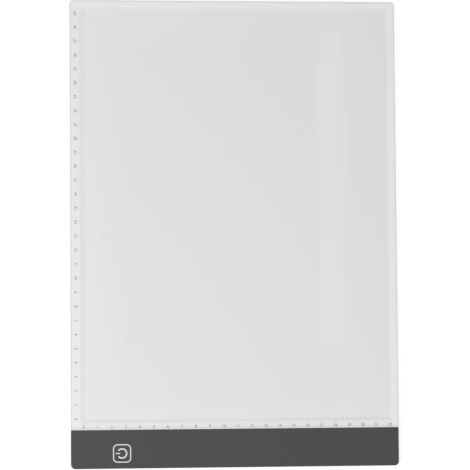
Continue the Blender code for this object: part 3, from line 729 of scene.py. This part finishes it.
lead_tree, size = new_tree(
    "swept_lead",
    Start="Vector", Leave="Vector", Arrive="Vector", End="Vector",
    Radius="Float", First="Float", Last="Float", Sides="Int", Steps="Int",
)
run = {"Start": size["Start"], "Start Handle": size["Leave"], "Resolution": size["Steps"]}
run = {"End": size["End"], "End Handle": size["Arrive"], **run}
run = add(lead_tree, "GeometryNodeCurvePrimitiveBezierSegment", run)
run = {"Curve": run.outputs[0], "Start": size["First"], "End": size["Last"]}
run = add(lead_tree, "GeometryNodeTrimCurve", run, mode="FACTOR")
ring = {"Resolution": size["Sides"], "Radius": size["Radius"]}
ring = add(lead_tree, "GeometryNodeCurvePrimitiveCircle", ring)
run = {"Curve": run.outputs[0], "Profile Curve": ring.outputs[0], "Fill Caps": True}
end_tree(lead_tree, size, add(lead_tree, "GeometryNodeCurveToMesh", run).outputs[0])

tinned_copper, shader, place = finish(
    "tinned_copper_wire", leg_colour, tin_roughness, Metallic=1.0
)
dent(shader, noise(place, solder_grain), sleeve_depth)
for node, colour, slot, side in (
    ("lead_positive", red_colour, "red_sleeve", -1),
    ("lead_negative", black_colour, "black_sleeve", 1),
):
    low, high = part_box(node)
    radius = (high.z - low.z) / 2
    xs = (low.x + radius, high.x - radius) if side > 0 else (high.x - radius, low.x + radius)
    reach = (high.y - low.y) * bend_share
    z = low.z + radius
    path = {
        "Start": (xs[0], low.y, z), "Leave": (xs[0], low.y + reach, z),
        "Arrive": (xs[1], high.y - reach, z), "End": (xs[1], high.y, z),
        "Sides": lead_sides, "Steps": lead_steps,
    }
    pvc, shader, place = finish(f"soft_pvc_{slot}", colour, sleeve_roughness, IOR=1.53)
    dent(shader, noise(place, sleeve_grain), sleeve_depth)
    grown(
        f"{node}_sleeve", lead_tree, pvc, slot, nodes=(node,),
        Radius=radius, First=sleeve_start, Last=sleeve_end, **path,
    )
    grown(
        f"{node}_core", lead_tree, tinned_copper, "stamped_steel",
        Radius=radius * core_share, First=0.0, Last=1.0, **path,
    )
    blob_low = (xs[0] - radius, low.y - blob_reach / 2, board_top)
    blob_high = (xs[0] + radius, low.y + blob_reach, board_top + blob_height)
    blob = rounded_block(blob_low, blob_high, blob_round)
    in_rows(f"{node}_solder", blob, solder, "stamped_steel", 1, 1, (0, 0, 0))


# The foam pad fills the space between the board and the printed key: polyurethane foam with carbon
# in it, cut to a square, so that a finger on the key reaches the touch chip through it.
foam_colour = "37383B"
foam_roughness = 0.93
pore_size = 0.0004
painted_pore_shade = 0.55
painted_wall_light = 1.25
pore_depth = 0.00015
foam_edge = 0.0003

carbon_foam, shader, place = finish("carbon_filled_foam", foam_colour, foam_roughness)
pores = cells(place, pore_size)
# Painted shade and light: the pore middles are painted darker and the walls between them lighter.
shade(shader, foam_colour, pores, painted_pore_shade, painted_wall_light)
dent(shader, pores, pore_depth)
finished_copy("foam_pad", "touch_sensor_foam", carbon_foam, "conductive_foam", foam_edge)


# White tapes hold the sheet down on three sides: a tissue carrier with acrylic adhesive on both
# faces, so the fibres of the tissue show in it.
tape_colour = "F4F4F1"
tape_roughness = 0.62
fibre_length = 0.004
fibre_width = 0.0003
fibre_tone = "E6E6E1"

tissue_tape, shader, place = finish("white_tissue_tape", tape_colour, tape_roughness)
overlay(shader, streaks(place, fibre_length, fibre_width, detail=4), Base_Color=fibre_tone)
for node in ("tape_left", "tape_right", "tape_far"):
    carry_over(node, tissue_tape)


# The cover sheet is opal acrylic, cast 0.8 mm thick and polished. What lies under it shows faintly:
# the tapes as a lighter border, the diffuser's left edge as a thin grey line, the bare rim as a
# darker edge, partly for the missing tape and partly as painted shade from the gap beneath.
# In the photo, it is also a little lighter towards its left, near and far edges: that is light
# painted into its colour.
opal_colour = "DCDDDE"
over_tape_colour = "E4E5E5"
over_left_tape_colour = "E2E3E3"
over_gap_colour = "D0D2D3"
bare_rim_shade_colour = "D0D2D2"
painted_edge_light_colour = "DFE0E1"
painted_edge_light_reach = 0.032
painted_near_light_reach = 0.022
opal_roughness = 0.03
polish_drift = 0.006
show_through = 0.0007
far_show_through = 0.0026
gap_line_width = 0.0006
near_line_start = 0.0010
near_line_width = 0.0008
wave_length = 0.03
wave_depth = 0.00002
scale_zero_x = 0.00898
scale_zero_y = 0.03532

opal_acrylic, shader, place = finish("opal_acrylic", opal_colour, opal_roughness, IOR=1.49)
axes = split_axes(place)
left_tape, right_tape, far_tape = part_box("tape_left"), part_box("tape_right"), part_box("tape_far")


def beyond(axis, line, way=1, blur=show_through):
    """1 past the edge of what lies under the sheet, and 0 before it, blurred by the acrylic."""
    return past(axes, axis, line, way, blur)


taped = (beyond("X", right_tape[0].x), beyond("Y", far_tape[0].y, 1, far_show_through))
taped = joined("MAXIMUM", *taped)
left_taped = joined("MULTIPLY", beyond("X", left_tape[1].x, -1), beyond("Y", far_tape[0].y, -1))
# Painted shade: the bare rim is darker, partly for the missing tape and partly as shade from the gap
# beneath.
bare = joined(
    "MAXIMUM",
    beyond("X", left_tape[0].x, -1),
    beyond("X", right_tape[1].x),
    beyond("Y", far_tape[1].y),
)
low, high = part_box("cover_sheet")
film_low, film_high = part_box("diffuser_film")
joint_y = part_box("bar_top_cover")[1].y
near_line_y = joint_y + near_line_start
near_line = (beyond("Y", near_line_y), beyond("Y", near_line_y + near_line_width, -1))
gap = joined(
    "MULTIPLY",
    beyond("X", film_low.x - gap_line_width),
    beyond("X", film_low.x, -1),
    beyond("Y", low.y + scale_zero_y - (joint_y - cad_box[0].y)),
    beyond("Y", far_tape[0].y, -1),
)
gap = joined("MAXIMUM", gap, joined("MULTIPLY", *near_line))
# Painted light: the sheet's colour is made lighter towards its left edge, its near edge and its far
# edge, more so to the left.
painted_light_leftward = past(axes, "X", (low.x + high.x) / 2, -1, high.x - low.x)
painted_far_light = past(axes, "Y", film_high.y - painted_edge_light_reach / 2, 1, painted_edge_light_reach)
painted_edge_light = joined(
    "MAXIMUM",
    past(axes, "X", film_low.x + painted_edge_light_reach / 2, -1, painted_edge_light_reach),
    joined("MULTIPLY", painted_far_light, painted_light_leftward),
    past(axes, "Y", near_line_y + painted_near_light_reach / 2, -1, painted_near_light_reach),
)
for mask, tone in (
    (painted_edge_light, painted_edge_light_colour),
    (taped, over_tape_colour),
    (left_taped, over_left_tape_colour),
    (gap, over_gap_colour),
    (bare, bare_rim_shade_colour),
):
    overlay(shader, mask, Base_Color=tone)
waves = noise(place, wave_length, detail=1)
dent(shader, waves, wave_depth)
drift(shader, waves, opal_roughness, polish_drift)
finished_copy("opal_sheet", "cover_sheet", opal_acrylic, "milky_sheet")


# The scales are screen printed on the sheet in grey ink: a mark each millimetre, a longer one each
# centimetre, and a number at each centimetre. They run up the left side and along the bar.
ink_colour = "4A4C4E"
ink_roughness = 0.55
ink_thickness = 0.000012
ink_relief = 0.000003
side_mark_width = 0.000055
near_mark_width = 0.00009
ink_grain = 0.0002
marks_a_number = 10
mark_pitch = 0.001
side_marks = 291
side_mark_start = 0.00845
side_mark_length = 0.0015
side_long_length = 0.0031
near_marks = 221
near_mark_start = 0.0346
near_mark_length = 0.0017
near_long_length = 0.0030
digit_height = 0.0020
digit_steps = 4
figure_share = 0.7
side_number_x = 0.0039
near_number_y = 0.02943

ruler_ink, shader, place = finish("grey_screen_ink", ink_colour, ink_roughness)
dent(shader, noise(place, ink_grain), ink_relief)
sheet_top = high.z
pad_corner = Vector((cad_box[0].x, cad_box[0].y, sheet_top))

tree, size = new_tree(
    "ruler_marks",
    Count="Int", Pitch="Float", Width="Float", Length="Float", Long="Float", Every="Int",
    Thickness="Float",
)
step = add(tree, "ShaderNodeCombineXYZ", {0: size["Pitch"]})
line = add(tree, "GeometryNodeMeshLine", {"Count": size["Count"], "Offset": step.outputs[0]})
index = add(tree, "GeometryNodeInputIndex").outputs[0]
is_short = compute(tree, "GREATER_THAN", compute(tree, "MODULO", index, size["Every"]), 0.5)
reach = {"Switch": is_short, "False": size["Long"], "True": size["Length"]}
reach = add(tree, "GeometryNodeSwitch", reach, input_type="FLOAT").outputs["Output"]
mark = add(tree, "GeometryNodeMeshCube", {"Size": (1.0, 1.0, 1.0)})
hung = {"Geometry": mark.outputs["Mesh"], "Translation": (0, -0.5, 0.5)}
hung = add(tree, "GeometryNodeTransform", hung).outputs["Geometry"]
spread = {0: size["Width"], 1: reach, 2: size["Thickness"]}
spread = add(tree, "ShaderNodeCombineXYZ", spread).outputs[0]
marks = {"Points": line.outputs["Mesh"], "Instance": hung, "Scale": spread}
end_tree(tree, size, add(tree, "GeometryNodeInstanceOnPoints", marks).outputs[0])
marks = {"Pitch": mark_pitch, "Every": marks_a_number, "Thickness": ink_thickness}
side_end = pad_corner + Vector((side_mark_start, scale_zero_y + (side_marks - 1) * mark_pitch, 0))
grown(
    "side_scale_marks", tree, ruler_ink, "milky_sheet", side_end, math.radians(-90),
    Count=side_marks, Width=side_mark_width, Length=side_mark_length, Long=side_long_length,
    **marks,
)
near_end = pad_corner + Vector((scale_zero_x, near_mark_start, 0))
grown(
    "near_scale_marks", tree, ruler_ink, "milky_sheet", near_end,
    Count=near_marks, Width=near_mark_width, Length=near_mark_length, Long=near_long_length,
    **marks,
)


def printed(name, shapes, material, slot):
    """Flat shapes in ink, each a text or a curve with its place, as one closed mesh."""
    form = bmesh.new()
    for shape, place in shapes:
        laid = bpy.data.objects.new(name, shape)
        bpy.context.scene.collection.objects.link(laid)
        graph = bpy.context.evaluated_depsgraph_get()
        mesh = bpy.data.meshes.new_from_object(laid.evaluated_get(graph))
        mesh.transform(place)
        form.from_mesh(mesh)
        bpy.data.objects.remove(laid)
        bpy.data.meshes.remove(mesh)
    bmesh.ops.remove_doubles(form, verts=form.verts, dist=touching)
    bmesh.ops.dissolve_degenerate(form, edges=form.edges, dist=touching)
    bmesh.ops.recalc_face_normals(form, faces=form.faces)
    made = bpy.data.meshes.new(name)
    form.to_mesh(made)
    form.free()
    settle(stand(name, made, material), slot)


def digits(number):
    """A number in plain upright figures, with its ink's thickness and its middle at the origin."""
    text = bpy.data.curves.new(f"number_{number}", "FONT")
    text.body = str(number)
    text.align_x = "CENTER"
    text.align_y = "CENTER"
    text.size = digit_height / figure_share
    text.extrude = ink_thickness / 2
    text.resolution_u = digit_steps
    return text


raised = Vector((0, 0, ink_thickness / 2))
side_turn = Matrix.Rotation(math.radians(90), 4, "Z")
shapes = []
for number in range(side_marks // marks_a_number + 1):
    place = Vector((side_number_x, scale_zero_y + number * marks_a_number * mark_pitch, 0))
    shapes.append((digits(number), Matrix.Translation(pad_corner + raised + place) @ side_turn))
for number in range(near_marks // marks_a_number + 1):
    place = Vector((scale_zero_x + number * marks_a_number * mark_pitch, near_number_y, 0))
    shapes.append((digits(number), Matrix.Translation(pad_corner + raised + place)))
printed("scale_numbers", shapes, ruler_ink, "milky_sheet")


# The bar's top cover is the upper shell. Its outer edge is rounded, and it stands a little proud
# of the sheet.
finished_copy("top_moulding", "bar_top_cover", dark_abs, "dark_abs")


# The touch key is printed on the top cover in white ink: a rounded square round a power mark,
# turned so that it stands upright when the bar is on the left.
key_ink_colour = "D4D4D3"
key_ink_roughness = 0.42
key_x = 0.03618
key_y = 0.0108
frame_width = 0.0129
frame_length = 0.01305
frame_stroke = 0.0008
frame_radius = 0.0031
mark_radius = 0.00376
mark_stroke = 0.00104
mark_opening = math.radians(38)
stem_start = -0.0044
stem_end = -0.0014
stem_width = 0.00075
arc_steps = 12

key_ink, shader, place = finish("white_screen_ink", key_ink_colour, key_ink_roughness)
dent(shader, noise(place, ink_grain), ink_relief)


def arc(centre, radius, start, end, steps):
    """Points along an arc, from one angle to the other."""
    angles = [start + (end - start) * i / steps for i in range(steps + 1)]
    return [(centre[0] + radius * math.cos(a), centre[1] + radius * math.sin(a)) for a in angles]


def rounded_square(width, length, radius):
    """The outline of a rectangle with round corners, about the origin."""
    points = []
    for quarter, (x, y) in enumerate(((1, 1), (-1, 1), (-1, -1), (1, -1))):
        centre = (x * (width / 2 - radius), y * (length / 2 - radius))
        start = quarter * math.pi / 2
        points += arc(centre, radius, start, start + math.pi / 2, arc_steps)
    return points


def inked(name, *outlines):
    """Closed outlines filled with ink. One inside another is a hole."""
    curve = bpy.data.curves.new(name, "CURVE")
    curve.dimensions = "2D"
    curve.fill_mode = "BOTH"
    curve.extrude = ink_thickness / 2
    for outline in outlines:
        spline = curve.splines.new("POLY")
        spline.points.add(len(outline) - 1)
        spline.use_cyclic_u = True
        for point, (x, y) in zip(spline.points, outline):
            point.co = (x, y, 0, 1)
    return curve


key_frame = inked(
    "key_frame",
    rounded_square(frame_width, frame_length, frame_radius),
    rounded_square(
        frame_width - 2 * frame_stroke, frame_length - 2 * frame_stroke, frame_radius - frame_stroke
    ),
)
sweep = math.pi - mark_opening
outer = arc((0, 0), mark_radius, -sweep, sweep, 4 * arc_steps)
inner = arc((0, 0), mark_radius - mark_stroke, sweep, -sweep, 4 * arc_steps)
half = stem_width / 2
stem = [(stem_start, -half), (stem_end, -half), (stem_end, half), (stem_start, half)]
power_mark = inked("power_mark", outer + inner, stem)
key_place = Vector((cad_box[0].x + key_x, cad_box[0].y + key_y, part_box("bar_top_cover")[1].z))
key_place = Matrix.Translation(key_place + raised)
printed("key_print", [(key_frame, key_place), (power_mark, key_place)], key_ink, "dark_abs")


# Four pan-head screws clamp the bar's covers: zinc-plated steel, with a cross recess and a coarse
# thread for plastic. Two go through the tray's tongues, and two through the bar's middle.
zinc_colour = "9DA0A3"
zinc_roughness = 0.3
zinc_grain = 0.0006
zinc_sheen = 0.06
thread_pitch = 0.0006
thread_turns = 3.6
thread_radius = 0.0008
thread_depth = 0.00013
thread_end = 0.00015
thread_steps = 16
ridge_sides = 4
slot_turn = 1.5

zinc, shader, place = finish("zinc_plated_steel", zinc_colour, zinc_roughness, Metallic=1.0)
drift(shader, noise(place, zinc_grain, detail=3), zinc_roughness, zinc_sheen)

thread_tree, size = new_tree(
    "screw_thread", Turns="Float", Pitch="Float", Radius="Float", Depth="Float", Steps="Int",
)
rise = compute(thread_tree, "MULTIPLY", size["Turns"], size["Pitch"])
helix = {"Rotations": size["Turns"], "Start Radius": size["Radius"], "End Radius": size["Radius"]}
helix = {"Resolution": size["Steps"], "Height": rise, **helix}
helix = add(thread_tree, "GeometryNodeCurveSpiral", helix)
ridge = {"Resolution": ridge_sides, "Radius": size["Depth"]}
ridge = add(thread_tree, "GeometryNodeCurvePrimitiveCircle", ridge)
ridge = {"Curve": helix.outputs[0], "Profile Curve": ridge.outputs[0], "Fill Caps": True}
end_tree(thread_tree, size, add(thread_tree, "GeometryNodeCurveToMesh", ridge).outputs[0])
low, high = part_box("bar_screw_1")
middle = (low + high) / 2
thread_place = Vector((0, 0, high.z - thread_end - thread_turns * thread_pitch))
thread = grown(
    "thread", thread_tree, zinc, "screw_steel", thread_place,
    Turns=thread_turns, Pitch=thread_pitch, Radius=thread_radius, Depth=thread_depth,
    Steps=thread_steps,
)
form = bmesh.new()
form.from_mesh(closed_copy("bar_screw_1"))
bmesh.ops.translate(form, vec=(-middle.x, -middle.y, 0), verts=form.verts)
form.from_mesh(thread.data)
screw_mesh = bpy.data.meshes.new("screw")
form.to_mesh(screw_mesh)
form.free()
bpy.data.objects.remove(thread)
screw_mesh.set_sharp_from_angle(angle=crease)
for name, first, last in (("tongue_screws", 1, 2), ("middle_screws", 3, 4)):
    screws = (f"bar_screw_{first}", f"bar_screw_{last}")
    low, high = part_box(screws[0])
    middle = (low + high) / 2
    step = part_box(screws[1])[0] - low
    in_rows(
        name, screw_mesh.copy(), zinc, "screw_steel", 2, 2, step,
        place=(middle.x, middle.y, 0), turn=slot_turn, nodes=screws,
    )


# Four round feet are moulded in black rubber and bonded into shallow recesses. Two grooves in the
# sole of each give it grip.
rubber_colour = "262627"
rubber_roughness = 0.82
rubber_grain = 0.00025
rubber_depth = 0.00001
groove_depth = 0.00015
groove_radii = (0.0015, 0.0029)
groove_half = 0.0003
groove_slope = 0.00015
sole_edge = 0.0004
sole_steps = 6
foot_steps = 48


def turned(profile, steps):
    """A closed mesh of a profile turned about Z. It starts and ends on the axis."""
    form = bmesh.new()
    rings = []
    for radius, z in profile:
        if radius == 0:
            rings.append([form.verts.new((0, 0, z))])
        else:
            points = arc((0, 0), radius, 0, math.tau, steps)[:-1]
            rings.append([form.verts.new((x, y, z)) for x, y in points])
    for lower, upper in zip(rings, rings[1:]):
        for i in range(steps):
            around = ((lower, i), (lower, i + 1), (upper, i + 1), (upper, i))
            corners = [ring[j % len(ring)] for ring, j in around]
            form.faces.new(list(dict.fromkeys(corners)))
    bmesh.ops.recalc_face_normals(form, faces=form.faces)
    return smoothed(form, bpy.data.meshes.new("turned"))


rubber, shader, place = finish("moulded_black_rubber", rubber_colour, rubber_roughness, IOR=1.52)
dent(shader, noise(place, rubber_grain, detail=3), rubber_depth)
low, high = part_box("foot_bar_left")
foot_radius = (high.x - low.x) / 2
profile = [(0, 0)]
for radius in groove_radii:
    profile += [(radius - groove_half - groove_slope, 0), (radius - groove_half, groove_depth)]
    profile += [(radius + groove_half, groove_depth), (radius + groove_half + groove_slope, 0)]
profile += arc((foot_radius - sole_edge, sole_edge), sole_edge, -math.pi / 2, 0, sole_steps)
profile += [(foot_radius, high.z), (0, high.z)]
middle = (low + high) / 2
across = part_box("foot_bar_right")[0] - low
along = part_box("foot_far_left")[0] - low
in_rows(
    "rubber_feet", turned(profile, foot_steps), rubber, "foot_rubber", 4, 2, across, along,
    place=(middle.x, middle.y, 0),
    nodes=("foot_bar_left", "foot_bar_right", "foot_far_left", "foot_far_right"),
)


# The studio is a plain pale floor under soft light: a large lamp over the pad's near left corner,
# and two narrow ones far above, whose faint reflections lie along the right of the sheet.
floor_colour = "A0A0A0"
floor_roughness = 0.9
floor_side = 8.0
floor_drop = 0.00002
floor_glow = 0.75
sky_strength = 0.70
key_lamp_place = (-0.87, -0.67, 1.0)
key_lamp_side = 0.9
key_lamp_power = 10.85
strip_lamp_height = 1.806
strip_lamps = {
    # place over the floor, width, length and power
    "wide_strip_lamp": ((0.3096, 0.1744), 0.0344, 0.488, 0.0345),
    "narrow_strip_lamp": ((0.3321, 0.1347), 0.0108, 0.623, 0.0092),
}


def seen(tree):
    """1 for the rays that show a surface, also in a reflection or through glass, and else 0."""
    rays = add(tree, "ShaderNodeLightPath").outputs
    kinds = ("Camera", "Glossy", "Transmission")
    return joined("MAXIMUM", *[rays[f"Is {kind} Ray"] for kind in kinds])


floor_mesh = bpy.data.meshes.new("floor")
form = bmesh.new()
bmesh.ops.create_grid(form, x_segments=1, y_segments=1, size=floor_side / 2)
bmesh.ops.translate(form, vec=(0, 0, -floor_drop), verts=form.verts)
form.to_mesh(floor_mesh)
form.free()
floor_paper, shader, place = finish("floor_paper", floor_colour, floor_roughness)
glow = compute(floor_paper.node_tree, "MULTIPLY", seen(floor_paper.node_tree), floor_glow)
plug(shader, {"Emission Color": (1, 1, 1, 1), "Emission Strength": glow})
floor = stand("floor", floor_mesh, floor_paper)

world = bpy.data.worlds.new("studio")
bpy.context.scene.world = world
world.use_nodes = True
tree = world.node_tree
level = {"Value": seen(tree), "To Min": sky_strength, "To Max": 1.0}
level = add(tree, "ShaderNodeMapRange", level).outputs["Result"]
plug(tree.nodes["Background"], {"Color": (1, 1, 1, 1), "Strength": level})


def lamp(name, place, aim, width, length, power):
    """A soft rectangular lamp that faces a point."""
    light = bpy.data.lights.new(name, "AREA")
    light.shape = "RECTANGLE"
    light.size = width
    light.size_y = length
    light.energy = power
    made = bpy.data.objects.new(name, light)
    made.location = place
    made.rotation_euler = (Vector(aim) - Vector(place)).to_track_quat("-Z", "Y").to_euler()
    bpy.context.scene.collection.objects.link(made)


lamp("key_lamp", key_lamp_place, (0, 0, 0), key_lamp_side, key_lamp_side, key_lamp_power)
for name, ((x, y), width, length, power) in strip_lamps.items():
    lamp(name, (x, y, strip_lamp_height), (x, y, 0), width, length, power)


# The camera stands where the photograph was taken from: a little left of and below the middle,
# looking almost straight down.
camera_place = (-0.14488, -0.09401, 1.61066)
camera_turn = (3.325, -5.147, -0.442)
focal_pixels = 2250
image_pixels = 470
sensor_width = 36.0

camera = bpy.data.objects.new("camera", bpy.data.cameras.new("camera"))
camera.data.sensor_width = sensor_width
camera.data.lens = focal_pixels / image_pixels * sensor_width
camera.location = camera_place
camera.rotation_euler = [math.radians(a) for a in camera_turn]
bpy.context.scene.collection.objects.link(camera)
bpy.context.scene.camera = camera
bpy.context.scene.view_settings.view_transform = "Standard"
